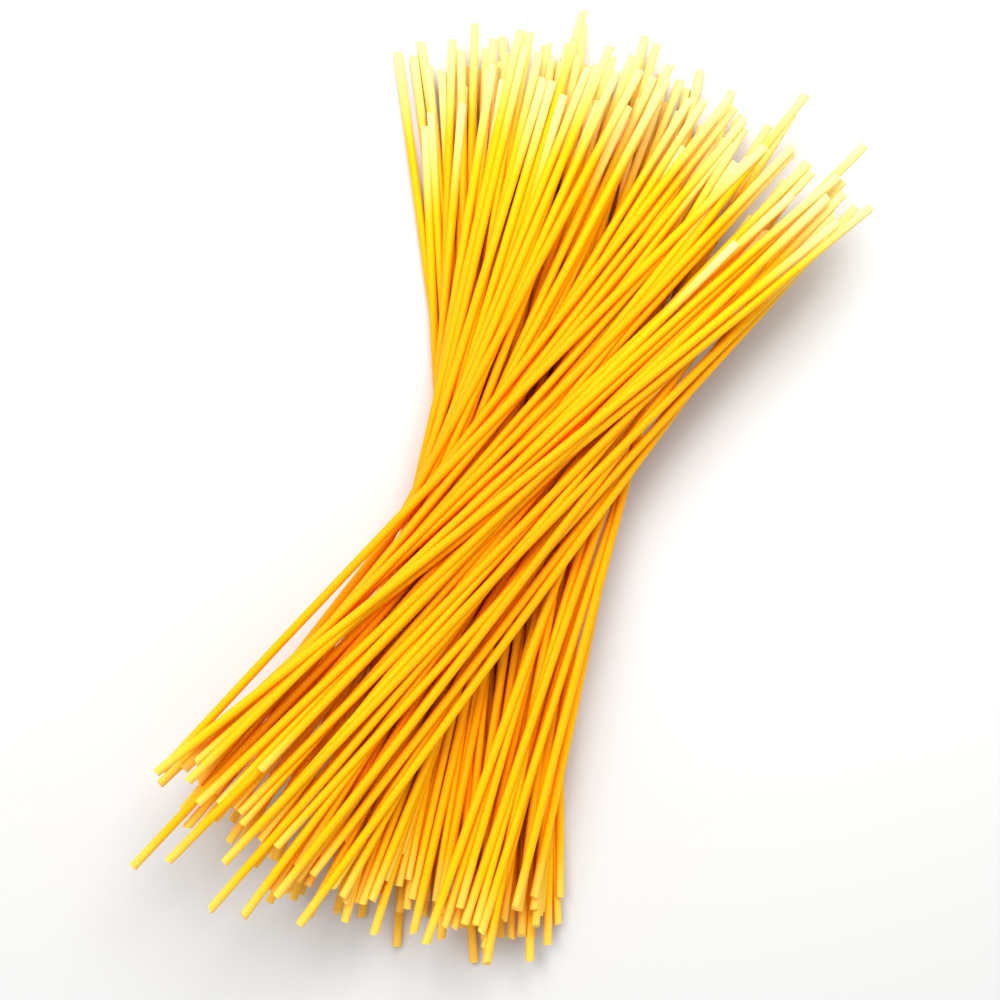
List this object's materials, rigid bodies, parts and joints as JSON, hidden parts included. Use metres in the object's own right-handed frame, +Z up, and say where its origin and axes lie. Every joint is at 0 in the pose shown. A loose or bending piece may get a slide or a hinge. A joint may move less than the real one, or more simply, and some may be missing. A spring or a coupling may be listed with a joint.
{
  "type": "bundle of dry spaghetti",
  "caption": "Twisted bundle of dry spaghetti lying on its side, pinched at the waist and fanned out at both uneven ends.",
  "frame": {"origin": "middle of the footprint, on the surface that the bundle lies on", "axes": "+Y along the bundle, +Z up, +X to its side; the top strands lean from -X at -Y to +X at +Y"},
  "size_m": [0.1496, 0.283, 0.0412],
  "materials": {
    "dry_pasta": "golden dry durum pasta, smooth and slightly translucent, with a soft satin sheen and paler snapped ends"
  },
  "bodies": {
    "root": {"spaghetti_bundle": "dry_pasta"}
  },
  "joints": []
}
